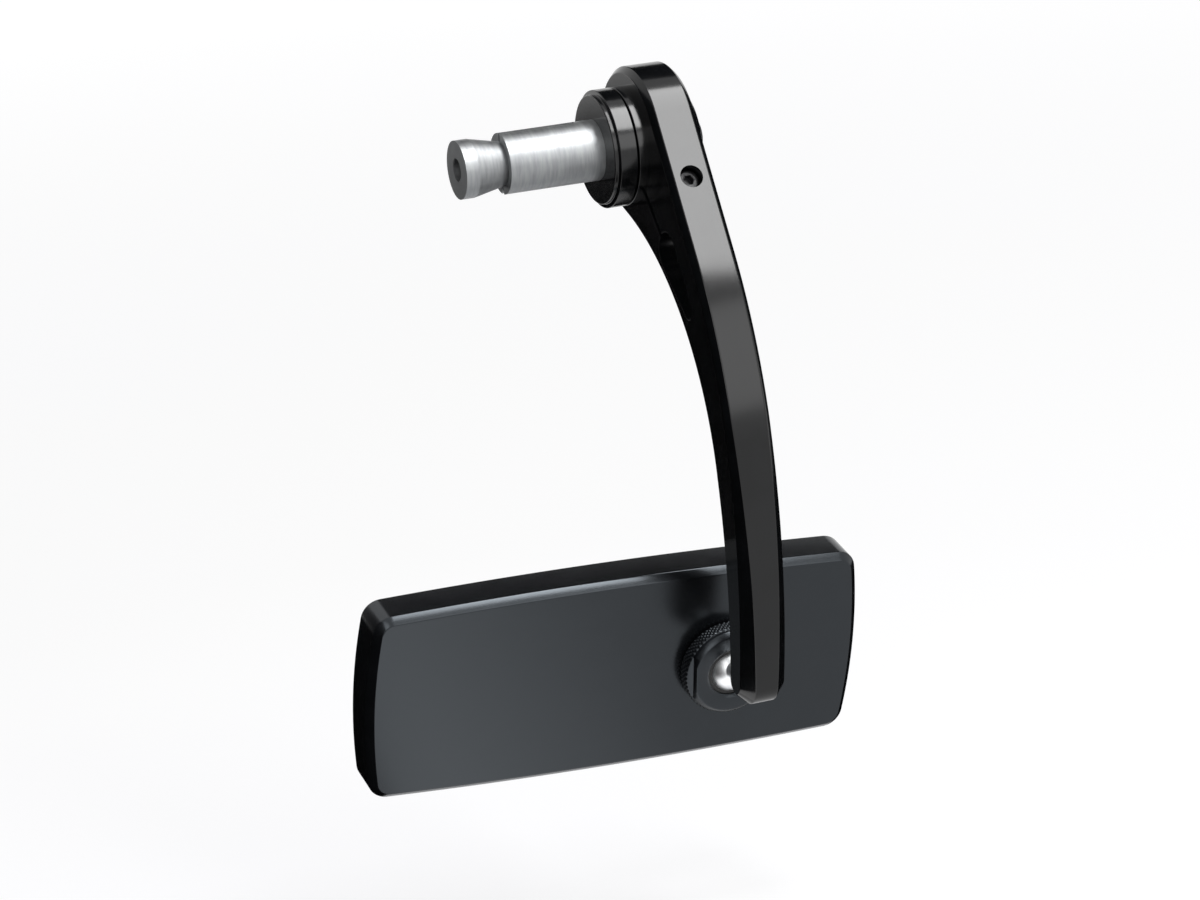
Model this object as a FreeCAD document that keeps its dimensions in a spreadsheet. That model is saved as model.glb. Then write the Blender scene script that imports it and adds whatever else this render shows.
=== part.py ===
import FreeCAD, Part
import math
import os

from FreeCAD import Vector, Rotation, Placement
import Sketcher

doc = FreeCAD.newDocument("mirror")
sheet = doc.addObject("Spreadsheet::Sheet", "sizes")

# every size in millimetres or degrees, written once
start_values = {
    # bar end, all along X from the face that seats on the bar
    "collar_r": 15.5,
    "collar_len": 6.0,
    "collar_groove": 1.2,
    "spigot_r": 11.0,
    "bolt_r": 3.0,
    "bolt_head_r": 5.0,
    "bolt_head_len": 5.0,
    "hex_half": 2.5,
    "washer_r": 13.5,
    "washer_len": 3.0,
    "sleeve_r": 8.0,
    "sleeve_len": 26.0,
    "sleeve_slit": 1.6,
    "cone_len": 12.0,
    "running_gap": 0.04,
    "side_gap": 0.35,
    "clear_gap": 0.25,
    # arm profile, in its own plane
    "arm_rest": 12.0,
    "arm_thick": 12.6,
    "boss_len": 3.0,
    "eye_r": 20.5,
    "front_len": 39.6,
    "front_angle": 20.4,
    "upper_arc": 122.0,
    "lower_arc": 185.0,
    "rear_arc": 72.0,
    "arm_width": 12.5,
    "arm_drop": 141.0,
    "arm_edge": 1.5,
    "tip_edge": 3.2,
    "window_top": 29.0,
    "window_fwd": 17.0,
    "window_r": 5.6,
    "window_run": 17.0,
    "window_tip_r": 2.8,
    "slit_wide": 1.6,
    "pinch_down": 18.5,
    "pinch_head_r": 2.75,
    "pinch_head_len": 3.0,
    "pinch_sink": 2.6,
    "pinch_r": 1.5,
    "pinch_len": 17.0,
    # ball and socket, along the head's own axis from the ball centre
    "ball_r": 6.0,
    "neck_r": 2.6,
    "ball_reach": 13.5,
    "stud_lean": 18.5,
    "head_lean": 1.75,
    "shank_r": 3.0,
    "shank_len": 9.0,
    "shank_out": 1.6,
    "liner_r": 7.0,
    "liner_split": 5.0,
    "ring_top": 19.0,
    "cup_low": 50.0,
    "boss_r": 9.2,
    "nut_r": 12.8,
    "nut_top": 3.4,
    "nut_lip": 2.6,
    "nut_rim_top": 1.3,
    "nut_flat": 10.4,
    "nut_edge": 1.2,
    "knurl_deep": 0.35,
    "knurl_count": 44,
    # head, its back face below the ball centre
    "back_drop": 3.0,
    "head_long": 138.0,
    "head_high": 56.0,
    "head_thick": 12.0,
    "end_bulge": 2.2,
    "side_bulge": 1.6,
    "corner_r": 5.5,
    "back_edge": 1.8,
    "head_along": -30.3,
    "head_up": 0.6,
    "head_roll": 2.6,
    "back_wall": 3.0,
    "rim_wall": 2.0,
    "ledge": 3.0,
    "glass_thick": 2.0,
    "glass_sink": 0.3,
    "glass_gap": 0.15,
    "pad_thick": 0.5,
    "flange_r": 15.0,
    "flange_len": 3.0,
    "fix_circle": 12.0,
    "fix_r": 1.25,
    "fix_head_r": 2.4,
    "fix_count": 3,
}

row = 1
for name in start_values:
    sheet.set("A%d" % row, name)
    sheet.set("B%d" % row, str(start_values[name]))
    sheet.setAlias("B%d" % row, name)
    row = row + 1
doc.recompute()


# a size that keeps its number and its expression side by side
class Size:
    def __init__(self, number, text):
        self.number = float(number)
        self.text = text

    def __add__(self, other):
        other = as_size(other)
        return Size(self.number + other.number, "(%s + %s)" % (self.text, other.text))

    def __radd__(self, other):
        return as_size(other) + self

    def __sub__(self, other):
        other = as_size(other)
        return Size(self.number - other.number, "(%s - %s)" % (self.text, other.text))

    def __rsub__(self, other):
        return as_size(other) - self

    def __mul__(self, other):
        other = as_size(other)
        return Size(self.number * other.number, "(%s * %s)" % (self.text, other.text))

    def __rmul__(self, other):
        return as_size(other) * self

    def __truediv__(self, other):
        other = as_size(other)
        return Size(self.number / other.number, "(%s / %s)" % (self.text, other.text))

    def __neg__(self):
        return as_size(0) - self


def as_size(value):
    if isinstance(value, Size):
        return value
    return Size(value, "%.9g" % value if value >= 0 else "(0 - %.9g)" % -value)


def sine(size):
    return Size(math.sin(math.radians(size.number)), "sin(%s)" % size.text)


def cosine(size):
    return Size(math.cos(math.radians(size.number)), "cos(%s)" % size.text)


def arc_sine(size):
    return Size(math.degrees(math.asin(size.number)), "(asin(%s) / 1 deg)" % size.text)


def root(size):
    return Size(math.sqrt(size.number), "sqrt(%s)" % size.text)


class Sizes:
    pass


s = Sizes()
for name in start_values:
    setattr(s, name, Size(start_values[name], "sizes." + name))


# centre of the arm's lower arc behind and below the bar, and the angle there of the arm's tip
centre_back = s.lower_arc - s.upper_arc - s.eye_r * cosine(s.front_angle) \
    - s.front_len * sine(s.front_angle) + s.upper_arc * cosine(s.front_angle)
centre_down = s.front_len * cosine(s.front_angle) - s.eye_r * sine(s.front_angle) \
    + s.upper_arc * sine(s.front_angle)
mid_arc = s.lower_arc - s.arm_width / 2
tip_angle = arc_sine((s.arm_drop - centre_down) / mid_arc)


def bind(obj, prop, size):
    obj.setExpression(prop, as_size(size).text)


# places an object by a turn about X and a shift, both tied to the sheet
def place(obj, x, y, z, turn):
    obj.Placement = Placement(
        Vector(as_size(x).number, as_size(y).number, as_size(z).number),
        Rotation(Vector(1, 0, 0), as_size(turn).number))
    bind(obj, ".Placement.Base.x", x)
    bind(obj, ".Placement.Base.y", y)
    bind(obj, ".Placement.Base.z", z)
    bind(obj, ".Placement.Rotation.Angle", turn)


def new_body(label):
    body = doc.addObject("PartDesign::Body", label)
    body.Label = label
    return body


across_x = Rotation(Vector(1, 1, 1), 120)      # sketch x to Y, sketch y to Z, normal to X
upright = Rotation(Vector(1, 0, 0), 90)        # sketch x to X, sketch y to Z
flat = Rotation()


def new_sketch(body, name, rotation, x=0, y=0, z=0):
    sketch = body.newObject("Sketcher::SketchObject", name)
    x = as_size(x)
    y = as_size(y)
    z = as_size(z)
    sketch.Placement = Placement(Vector(x.number, y.number, z.number), rotation)
    for prop, size in ((".Placement.Base.x", x), (".Placement.Base.y", y), (".Placement.Base.z", z)):
        if "sizes." in size.text:
            bind(sketch, prop, size)
    return sketch


# ties one coordinate of a sketch point to an expression
def pin(sketch, kind, geo, pos, size):
    size = as_size(size)
    if "sizes." not in size.text and abs(size.number) < 1e-9:
        axis = -2 if kind == "DistanceX" else -1
        sketch.addConstraint(Sketcher.Constraint("PointOnObject", geo, pos, axis))
        return
    index = sketch.addConstraint(Sketcher.Constraint(kind, -1, 1, geo, pos, size.number))
    if "sizes." in size.text:
        bind(sketch, "Constraints[%d]" % index, size)


def radius(sketch, geo, size):
    index = sketch.addConstraint(Sketcher.Constraint("Radius", geo, as_size(size).number))
    bind(sketch, "Constraints[%d]" % index, size)


# closed polygon, every corner tied to the sheet
def polygon(sketch, corners):
    points = [(as_size(a), as_size(b)) for a, b in corners]
    count = len(points)
    first = sketch.GeometryCount
    for i in range(count):
        a = points[i]
        b = points[(i + 1) % count]
        sketch.addGeometry(Part.LineSegment(
            Vector(a[0].number, a[1].number, 0), Vector(b[0].number, b[1].number, 0)), False)
    for i in range(count):
        sketch.addConstraint(Sketcher.Constraint(
            "Coincident", first + i, 2, first + (i + 1) % count, 1))
    for i in range(count):
        pin(sketch, "DistanceX", first + i, 1, points[i][0])
        pin(sketch, "DistanceY", first + i, 1, points[i][1])


def circle(sketch, x, y, r):
    x = as_size(x)
    y = as_size(y)
    r = as_size(r)
    geo = sketch.addGeometry(Part.Circle(Vector(x.number, y.number, 0), Vector(0, 0, 1), r.number))
    if x.text == "0" and y.text == "0":
        sketch.addConstraint(Sketcher.Constraint("Coincident", geo, 3, -1, 1))
    else:
        pin(sketch, "DistanceX", geo, 3, x)
        pin(sketch, "DistanceY", geo, 3, y)
    radius(sketch, geo, r)


def turned(body, name, corners, axis, rotation, groove=False):
    sketch = new_sketch(body, name + "_line", rotation)
    polygon(sketch, corners)
    kind = "PartDesign::Groove" if groove else "PartDesign::Revolution"
    made = body.newObject(kind, name)
    made.Profile = sketch
    made.ReferenceAxis = (sketch, [axis])
    made.Angle = 360.0
    return made


def padded(body, sketch, name, length):
    made = body.newObject("PartDesign::Pad", name)
    made.Profile = sketch
    bind(made, "Length", length)
    return made


# cuts the sketch both ways along its normal, or one way to a depth
def pocketed(body, sketch, name, depth=None, reverse=False):
    made = body.newObject("PartDesign::Pocket", name)
    made.Profile = sketch
    if depth is None:
        made.Type = 1
        made.Midplane = True
    else:
        bind(made, "Length", depth)
        made.Reversed = reverse
    return made


# bar end: positions along X
arm_in = s.collar_len + s.side_gap + s.boss_len
arm_mid = arm_in + s.arm_thick / 2
arm_out = arm_in + s.arm_thick
spigot_end = arm_out + s.side_gap
hole_r = s.bolt_r + s.clear_gap

collar = new_body("bar_end_collar")
turned(collar, "collar_turned", [
    (0, hole_r), (0, s.collar_r - s.collar_groove), (s.collar_groove, s.collar_r - s.collar_groove),
    (s.collar_groove, s.collar_r), (s.collar_len, s.collar_r), (s.collar_len, s.spigot_r),
    (spigot_end, s.spigot_r), (spigot_end, hole_r)], "H_Axis", flat)

washer = new_body("retaining_washer")
washer_end = spigot_end + s.washer_len
head_seat = washer_end - s.washer_len / 2
turned(washer, "washer_turned", [
    (spigot_end, hole_r), (spigot_end, s.washer_r), (washer_end - s.collar_groove, s.washer_r),
    (washer_end, s.washer_r - s.collar_groove), (washer_end, s.bolt_head_r + s.clear_gap),
    (head_seat, s.bolt_head_r + s.clear_gap), (head_seat, hole_r)], "H_Axis", flat)

# centre bolt with a hexagon socket, its thread in the wedge nut
bolt = new_body("centre_bolt")
bolt_tip = -s.sleeve_len - s.cone_len / 2
bolt_top = head_seat + s.bolt_head_len
turned(bolt, "bolt_turned", [
    (bolt_tip, 0), (bolt_tip, s.bolt_r), (head_seat, s.bolt_r), (head_seat, s.bolt_head_r),
    (bolt_top - s.collar_groove / 2, s.bolt_head_r), (bolt_top, s.bolt_head_r - s.collar_groove / 2),
    (bolt_top, 0)], "H_Axis", flat)


def hexagon(sketch, half):
    tall = half * 2 / root(as_size(3))
    polygon(sketch, [(tall, 0), (tall / 2, half), (-tall / 2, half), (-tall, 0),
                     (-tall / 2, -half), (tall / 2, -half)])


hex_line = new_sketch(bolt, "bolt_hex_line", across_x, bolt_top)
hexagon(hex_line, s.hex_half)
pocketed(bolt, hex_line, "bolt_hex", s.bolt_head_len * 0.6)

# expander: split sleeve with a tapered mouth, and the wedge drawn into it
taper = s.sleeve_r - s.bolt_r - 2.4
sleeve = new_body("expander_sleeve")
turned(sleeve, "sleeve_turned", [
    (0, hole_r), (0, s.sleeve_r), (-s.sleeve_len, s.sleeve_r), (-s.sleeve_len, hole_r + taper),
    (-s.sleeve_len + s.cone_len, hole_r)], "H_Axis", flat)
slit_line = new_sketch(sleeve, "sleeve_slit_line", flat)
polygon(slit_line, [
    (-s.sleeve_len - 1, -s.sleeve_slit / 2), (-s.sleeve_len - 1, s.sleeve_slit / 2),
    (-s.sleeve_len * 0.2, s.sleeve_slit / 2), (-s.sleeve_len * 0.2, -s.sleeve_slit / 2)])
pocketed(sleeve, slit_line, "sleeve_slit")

wedge = new_body("expander_wedge")
wedge_fat = s.sleeve_r - 0.3
slope_back = s.cone_len * (wedge_fat - hole_r - taper) / taper
turned(wedge, "wedge_turned", [
    (-s.sleeve_len + s.cone_len * 0.5, s.bolt_r),
    (-s.sleeve_len + s.cone_len * 0.5, hole_r + taper * 0.5 - s.running_gap),
    (-s.sleeve_len - slope_back, wedge_fat - s.running_gap),
    (-s.sleeve_len - s.cone_len, wedge_fat - s.running_gap),
    (-s.sleeve_len - s.cone_len, s.bolt_r)], "H_Axis", flat)

# arm: sketch x runs rearward, sketch y runs up, turned to its rest angle afterwards
arm = new_body("arm")
outline = new_sketch(arm, "arm_line", across_x, arm_in)
fa = math.radians(s.front_angle.number)
ta = math.radians(tip_angle.number)
eye = s.eye_r.number
p_f = (-eye * math.cos(fa), eye * math.sin(fa))
p_1 = (p_f[0] - s.front_len.number * math.sin(fa), p_f[1] - s.front_len.number * math.cos(fa))
c_u = (p_1[0] + s.upper_arc.number * math.cos(fa), p_1[1] - s.upper_arc.number * math.sin(fa))
c_l = (c_u[0] - s.upper_arc.number + s.lower_arc.number, c_u[1])
r_mid = s.lower_arc.number - s.arm_width.number / 2
r_rear = s.lower_arc.number - s.arm_width.number
c_t = (c_l[0] - r_mid * math.cos(ta), c_l[1] - r_mid * math.sin(ta))
gap_o = math.hypot(c_l[0], c_l[1])
d_a = s.rear_arc.number + eye
d_b = r_rear - s.rear_arc.number
along = (d_a * d_a - d_b * d_b + gap_o * gap_o) / (2 * gap_o)
aside = math.sqrt(d_a * d_a - along * along)
unit = (c_l[0] / gap_o, c_l[1] / gap_o)
c_r = (unit[0] * along + unit[1] * aside, unit[1] * along - unit[0] * aside)
up_z = Vector(0, 0, 1)


def arc(centre, r, from_angle, to_angle):
    ring = Part.Circle(Vector(centre[0], centre[1], 0), up_z, r)
    return Part.ArcOfCircle(ring, from_angle, to_angle)


turn_r = math.atan2(c_r[1], c_r[0])
turn_b = math.atan2(c_r[1] - c_l[1], c_r[0] - c_l[0]) % (2 * math.pi)
half_turn = math.pi
outline.addGeometry(arc((0, 0), eye, turn_r, half_turn - fa))
outline.addGeometry(Part.LineSegment(Vector(p_f[0], p_f[1], 0), Vector(p_1[0], p_1[1], 0)))
outline.addGeometry(arc(c_u, s.upper_arc.number, half_turn - fa, half_turn))
outline.addGeometry(arc(c_l, s.lower_arc.number, half_turn, half_turn + ta))
outline.addGeometry(arc(c_t, s.arm_width.number / 2, half_turn + ta, 2 * half_turn + ta))
outline.addGeometry(arc(c_l, r_rear, turn_b, half_turn + ta))
outline.addGeometry(arc(c_r, s.rear_arc.number, turn_r + half_turn, turn_b))
for a, a_end, b, b_end in ((0, 2, 1, 1), (1, 2, 2, 1), (2, 2, 3, 1), (3, 2, 4, 1),
                           (4, 2, 5, 2), (5, 1, 6, 2), (6, 1, 0, 1)):
    outline.addConstraint(Sketcher.Constraint("Tangent", a, a_end, b, b_end))
outline.addConstraint(Sketcher.Constraint("Coincident", 0, 3, -1, 1))
outline.addConstraint(Sketcher.Constraint("Coincident", 5, 3, 3, 3))
radius(outline, 0, s.eye_r)
radius(outline, 2, s.upper_arc)
radius(outline, 3, s.lower_arc)
radius(outline, 5, s.lower_arc - s.arm_width)
radius(outline, 6, s.rear_arc)
for kind, size in (("DistanceX", -s.front_len * sine(s.front_angle)),
                   ("DistanceY", -s.front_len * cosine(s.front_angle))):
    index = outline.addConstraint(Sketcher.Constraint(kind, 1, 1, 1, 2, size.number))
    bind(outline, "Constraints[%d]" % index, size)
outline.addConstraint(Sketcher.Constraint("Horizontal", 2, 3, 3, 3))
tip_drop = -(s.lower_arc - s.arm_width / 2) * sine(tip_angle)
index = outline.addConstraint(Sketcher.Constraint("DistanceY", 3, 3, 4, 3, tip_drop.number))
bind(outline, "Constraints[%d]" % index, tip_drop)
arm_pad = padded(arm, outline, "arm_pad", s.arm_thick)
doc.recompute()


# names of the edges that lie wholly in a plane across X
def edges_at(shape, x):
    names = []
    for number, edge in enumerate(shape.Edges):
        box = edge.BoundBox
        if abs(box.XMin - x) < 1e-6 and abs(box.XMax - x) < 1e-6:
            names.append("Edge%d" % (number + 1))
    return names


rim = edges_at(arm_pad.Shape, arm_in.number) + edges_at(arm_pad.Shape, arm_out.number)
arm_edge = arm.newObject("PartDesign::Chamfer", "arm_edge")
arm_edge.Base = (arm_pad, rim)
bind(arm_edge, "Size", s.arm_edge)
doc.recompute()

# the bevels widen towards the tip: cones on axes set off from the arm's own arcs
widen = (s.tip_edge - s.arm_edge) / sine(tip_angle)
bevel = s.tip_edge * 1.6


def bevels(name, y, z, start, sweep, face_r, side):
    line = new_sketch(arm, name + "_line", Rotation(Vector(1, 0, 0), start), 0, y, z)
    for face, step in ((arm_out, 1), (arm_in, -1)):
        polygon(line, [(face + step * 0.2, -face_r + side * 0.2),
                       (face - step * bevel, -face_r - side * bevel),
                       (face + step * 0.2, -face_r - side * bevel)])
    cut = arm.newObject("PartDesign::Groove", name)
    cut.Profile = line
    cut.ReferenceAxis = (line, ["H_Axis"])
    bind(cut, "Angle", sweep)
    before = arm_edge.Shape.Volume
    doc.recompute()
    print(name, round(before - cut.Shape.Volume, 1))
    return cut


bevels("front_bevel", centre_back, -centre_down + widen, 0, tip_angle,
       s.lower_arc - s.arm_edge, 1)
rear_start = as_size(math.degrees(turn_b) - 180)
rear_widen = (s.tip_edge - s.arm_edge) / (sine(tip_angle) - sine(rear_start))
bevels("rear_bevel", centre_back, -centre_down - rear_widen, rear_start.number,
       tip_angle - rear_start,
       s.lower_arc - s.arm_width + s.arm_edge - rear_widen * sine(rear_start), -1)
bevels("tip_bevel", centre_back - mid_arc * cosine(tip_angle),
       -centre_down - mid_arc * sine(tip_angle), tip_angle.number, as_size(180),
       s.arm_width / 2 - s.tip_edge, 1)

boss_line = new_sketch(arm, "boss_line", across_x, arm_in - s.boss_len)
circle(boss_line, 0, 0, s.collar_r)
padded(arm, boss_line, "arm_boss", s.boss_len + 1)

bore_line = new_sketch(arm, "bore_line", across_x, arm_mid)
circle(bore_line, 0, 0, s.spigot_r + s.running_gap)
pocketed(arm, bore_line, "arm_bore")

# tapered window below the eye, and the slit that lets the eye close on the spigot
window = new_sketch(arm, "window_line", across_x, arm_mid)
lean = math.atan2(s.window_fwd.number, s.window_top.number)
w_top = (-s.window_fwd.number, -s.window_top.number)
w_low = (w_top[0] - s.window_run.number * math.sin(lean), w_top[1] - s.window_run.number * math.cos(lean))
open_by = math.asin((s.window_r.number - s.window_tip_r.number) / s.window_run.number)
side_a = -lean + open_by
side_b = half_turn - lean - open_by
w_a = (w_top[0] + s.window_r.number * math.cos(side_a), w_top[1] + s.window_r.number * math.sin(side_a))
w_b = (w_top[0] + s.window_r.number * math.cos(side_b), w_top[1] + s.window_r.number * math.sin(side_b))
t_a = (w_low[0] + s.window_tip_r.number * math.cos(side_a), w_low[1] + s.window_tip_r.number * math.sin(side_a))
t_b = (w_low[0] + s.window_tip_r.number * math.cos(side_b), w_low[1] + s.window_tip_r.number * math.sin(side_b))
window.addGeometry(arc(w_top, s.window_r.number, side_a, side_b))
window.addGeometry(Part.LineSegment(Vector(w_b[0], w_b[1], 0), Vector(t_b[0], t_b[1], 0)))
window.addGeometry(arc(w_low, s.window_tip_r.number, side_b, side_a + 2 * half_turn))
window.addGeometry(Part.LineSegment(Vector(t_a[0], t_a[1], 0), Vector(w_a[0], w_a[1], 0)))
for a, a_end, b, b_end in ((0, 2, 1, 1), (1, 2, 2, 1), (2, 2, 3, 1), (3, 2, 0, 1)):
    window.addConstraint(Sketcher.Constraint("Tangent", a, a_end, b, b_end))
radius(window, 0, s.window_r)
radius(window, 2, s.window_tip_r)
pin(window, "DistanceX", 0, 3, -s.window_fwd)
pin(window, "DistanceY", 0, 3, -s.window_top)
hyp = root(s.window_fwd * s.window_fwd + s.window_top * s.window_top)
pin(window, "DistanceX", 2, 3, -s.window_fwd * (1 + s.window_run / hyp))
pin(window, "DistanceY", 2, 3, -s.window_top * (1 + s.window_run / hyp))
pocketed(arm, window, "arm_window")

slit = new_sketch(arm, "slit_line", across_x, arm_mid)
sx = s.slit_wide / 2 * s.window_top / hyp
sy = s.slit_wide / 2 * s.window_fwd / hyp
near = s.spigot_r * 0.8 / hyp
polygon(slit, [
    (-s.window_fwd * near - sx, -s.window_top * near + sy),
    (-s.window_fwd - sx, -s.window_top + sy),
    (-s.window_fwd + sx, -s.window_top - sy),
    (-s.window_fwd * near + sx, -s.window_top * near - sy)])
pocketed(arm, slit, "arm_slit")

# pinch screw bore, square to the straight front face
front_turn = Rotation(Vector(1, 0, 0), 90 + s.front_angle.number)


def pinch_place(obj, depth):
    down = s.pinch_down
    out = s.eye_r - depth
    obj.Placement = Placement(Vector(), front_turn)
    bind(obj, ".Placement.Rotation.Angle", 90 - s.front_angle)
    bind(obj, ".Placement.Base.x", arm_mid)
    bind(obj, ".Placement.Base.y", -out * cosine(s.front_angle) - down * sine(s.front_angle))
    bind(obj, ".Placement.Base.z", out * sine(s.front_angle) - down * cosine(s.front_angle))


def drilled(body, name, r, length, placer):
    made = body.newObject("PartDesign::SubtractiveCylinder", name)
    bind(made, "Radius", r)
    bind(made, "Height", length)
    placer(made)
    return made


sink_all = s.pinch_sink + s.pinch_head_len
drilled(arm, "pinch_head_bore", s.pinch_head_r + s.clear_gap, sink_all + 1,
        lambda obj: pinch_place(obj, sink_all))
drilled(arm, "pinch_shank_bore", s.pinch_r, s.pinch_len + 1,
        lambda obj: pinch_place(obj, sink_all + s.pinch_len))

# ball centre, in the arm's own plane and then at the rest angle, on a stud that
# stands square on the round tip and leans down from the arm's rear face
stud_angle = tip_angle - s.stud_lean
stud_all = s.arm_width / 2 + s.ball_reach
ball_y = centre_back - mid_arc * cosine(tip_angle) + stud_all * cosine(stud_angle)
ball_z = -centre_down - mid_arc * sine(tip_angle) + stud_all * sine(stud_angle)


def stud_place(obj, height):
    obj.Placement = Placement(Vector(), Rotation(Vector(1, 0, 0), 90))
    bind(obj, ".Placement.Rotation.Angle", 90 + stud_angle)
    bind(obj, ".Placement.Base.x", arm_mid)
    bind(obj, ".Placement.Base.y", ball_y - height * cosine(stud_angle))
    bind(obj, ".Placement.Base.z", ball_z - height * sine(stud_angle))


drilled(arm, "stud_bore", s.shank_r, s.shank_len + 2,
        lambda obj: stud_place(obj, s.ball_reach - 2))
place(arm, 0, 0, 0, -s.arm_rest)
doc.recompute()

pinch = new_body("pinch_screw")
turned(pinch, "pinch_turned", [
    (0, 0), (s.pinch_r, 0), (s.pinch_r, s.pinch_len), (s.pinch_head_r, s.pinch_len),
    (s.pinch_head_r, s.pinch_len + s.pinch_head_len), (0, s.pinch_len + s.pinch_head_len)],
    "V_Axis", upright)
pinch_hex = new_sketch(pinch, "pinch_hex_line", flat, 0, 0, s.pinch_len + s.pinch_head_len)
hexagon(pinch_hex, s.hex_half / 2)
pocketed(pinch, pinch_hex, "pinch_hex", s.pinch_head_len * 0.6)
pinch_out = s.eye_r - sink_all - s.pinch_len
rest_turn = s.front_angle + s.arm_rest
place(pinch, arm_mid,
      -pinch_out * cosine(rest_turn) * 1 - s.pinch_down * sine(rest_turn),
      pinch_out * sine(rest_turn) - s.pinch_down * cosine(rest_turn),
      90 - rest_turn)

# head frame: x along the bar, y up the head, z out of its back, origin at the ball centre
head_turn = 90 + tip_angle - s.arm_rest + s.head_lean
head_y = ball_y * cosine(s.arm_rest) + ball_z * sine(s.arm_rest)
head_z = ball_z * cosine(s.arm_rest) - ball_y * sine(s.arm_rest)


def at_ball(obj):
    place(obj, arm_mid, head_y, head_z, head_turn)


# chrome ball, its neck and the shank pressed in the arm
ball = doc.addObject("Part::Sphere", "stud_ball")
bind(ball, "Radius", s.ball_r)
neck = doc.addObject("Part::Cylinder", "stud_neck")
bind(neck, "Radius", s.neck_r)
bind(neck, "Height", s.ball_reach)
shank = doc.addObject("Part::Cylinder", "stud_shank")
bind(shank, "Radius", s.shank_r)
bind(shank, "Height", s.shank_len + s.shank_out)
bind(shank, ".Placement.Base.z", s.ball_reach - s.shank_out)
stud = doc.addObject("Part::MultiFuse", "ball_stud")
stud.Shapes = [ball, neck, shank]
stud.Label = "ball_stud"
place(stud, arm_mid, head_y, head_z, 90 + stud_angle - s.arm_rest)


# nylon liners: slices of one spherical shell round the ball
def liner(label, low, high):
    outer = doc.addObject("Part::Sphere", label + "_outer")
    bind(outer, "Radius", s.liner_r)
    bind(outer, "Angle1", low)
    bind(outer, "Angle2", high)
    inner = doc.addObject("Part::Sphere", label + "_inner")
    bind(inner, "Radius", s.ball_r + s.running_gap)
    made = doc.addObject("Part::Cut", label)
    made.Base = outer
    made.Tool = inner
    made.Label = label
    at_ball(made)
    return made


ring = liner("ball_ring", s.liner_split, s.ring_top)
cup = liner("ball_cup", -s.cup_low, -s.liner_split)

# socket base: boss through the back wall, flange inside the head, spherical seat
socket_r = s.liner_r + s.running_gap
floor_z = -s.back_drop - s.back_wall
base_low = floor_z - s.flange_len
base = new_body("socket_base")
turned(base, "base_turned", [
    (0, base_low), (s.flange_r, base_low), (s.flange_r, floor_z), (s.boss_r, floor_z),
    (s.boss_r, -s.side_gap / 2), (0, -s.side_gap / 2)], "V_Axis", upright)
seat = base.newObject("PartDesign::SubtractiveSphere", "base_seat")
bind(seat, "Radius", socket_r)
fix_line = new_sketch(base, "base_fix_line", flat, 0, 0, base_low)
circle(fix_line, s.fix_circle, 0, s.fix_r + s.clear_gap)
fix_cut = pocketed(base, fix_line, "base_fix", s.flange_len, True)
fix_ring = base.newObject("PartDesign::PolarPattern", "base_fix_ring")
fix_ring.Originals = [fix_cut]
fix_ring.Axis = (fix_line, ["N_Axis"])
fix_ring.Angle = 360.0
bind(fix_ring, "Occurrences", s.fix_count)
base.Tip = fix_ring
place(base, arm_mid, head_y, head_z, head_turn)

# knurled nut with two spanner flats and a dished mouth
nut = new_body("socket_nut")
nut_low = -s.back_drop + s.side_gap
mouth = root(socket_r * socket_r - s.nut_lip * s.nut_lip)
turned(nut, "nut_turned", [
    (s.boss_r + s.running_gap, nut_low), (s.nut_r - s.nut_edge / 2, nut_low),
    (s.nut_r, nut_low + s.nut_edge / 2), (s.nut_r, s.nut_rim_top - s.nut_edge / 2),
    (s.nut_r - s.nut_edge / 2, s.nut_rim_top),
    (s.nut_r - s.nut_edge / 2, s.nut_top - s.nut_edge), (s.nut_r - s.nut_edge * 1.5, s.nut_top),
    (mouth + s.nut_top - s.nut_lip, s.nut_top), (mouth, s.nut_lip),
    (mouth, s.side_gap / 2), (s.boss_r + s.running_gap, s.side_gap / 2)], "V_Axis", upright)
nut_seat = nut.newObject("PartDesign::SubtractiveSphere", "nut_seat")
bind(nut_seat, "Radius", socket_r)
flats = new_sketch(nut, "nut_flat_line", flat, 0, 0, s.nut_top)
polygon(flats, [(s.nut_flat, -s.nut_r), (s.nut_r * 1.2, -s.nut_r), (s.nut_r * 1.2, s.nut_r),
                (s.nut_flat, s.nut_r)])
polygon(flats, [(-s.nut_r * 1.2, -s.nut_r), (-s.nut_flat, -s.nut_r), (-s.nut_flat, s.nut_r),
                (-s.nut_r * 1.2, s.nut_r)])
pocketed(nut, flats, "nut_flats", s.nut_top - s.nut_rim_top)
knurl_line = new_sketch(nut, "knurl_line", flat, 0, 0, s.nut_rim_top)
polygon(knurl_line, [(s.nut_r - s.knurl_deep, 0), (s.nut_r + s.knurl_deep, -s.knurl_deep * 2),
                     (s.nut_r + s.knurl_deep, s.knurl_deep * 2)])
knurl = pocketed(nut, knurl_line, "nut_knurl", s.nut_rim_top - nut_low)
knurl_ring = nut.newObject("PartDesign::PolarPattern", "nut_knurl_ring")
knurl_ring.Originals = [knurl]
knurl_ring.Axis = (knurl_line, ["N_Axis"])
knurl_ring.Angle = 360.0
bind(knurl_ring, "Occurrences", s.knurl_count)
nut.Tip = knurl_ring
place(nut, arm_mid, head_y, head_z, head_turn)


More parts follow.
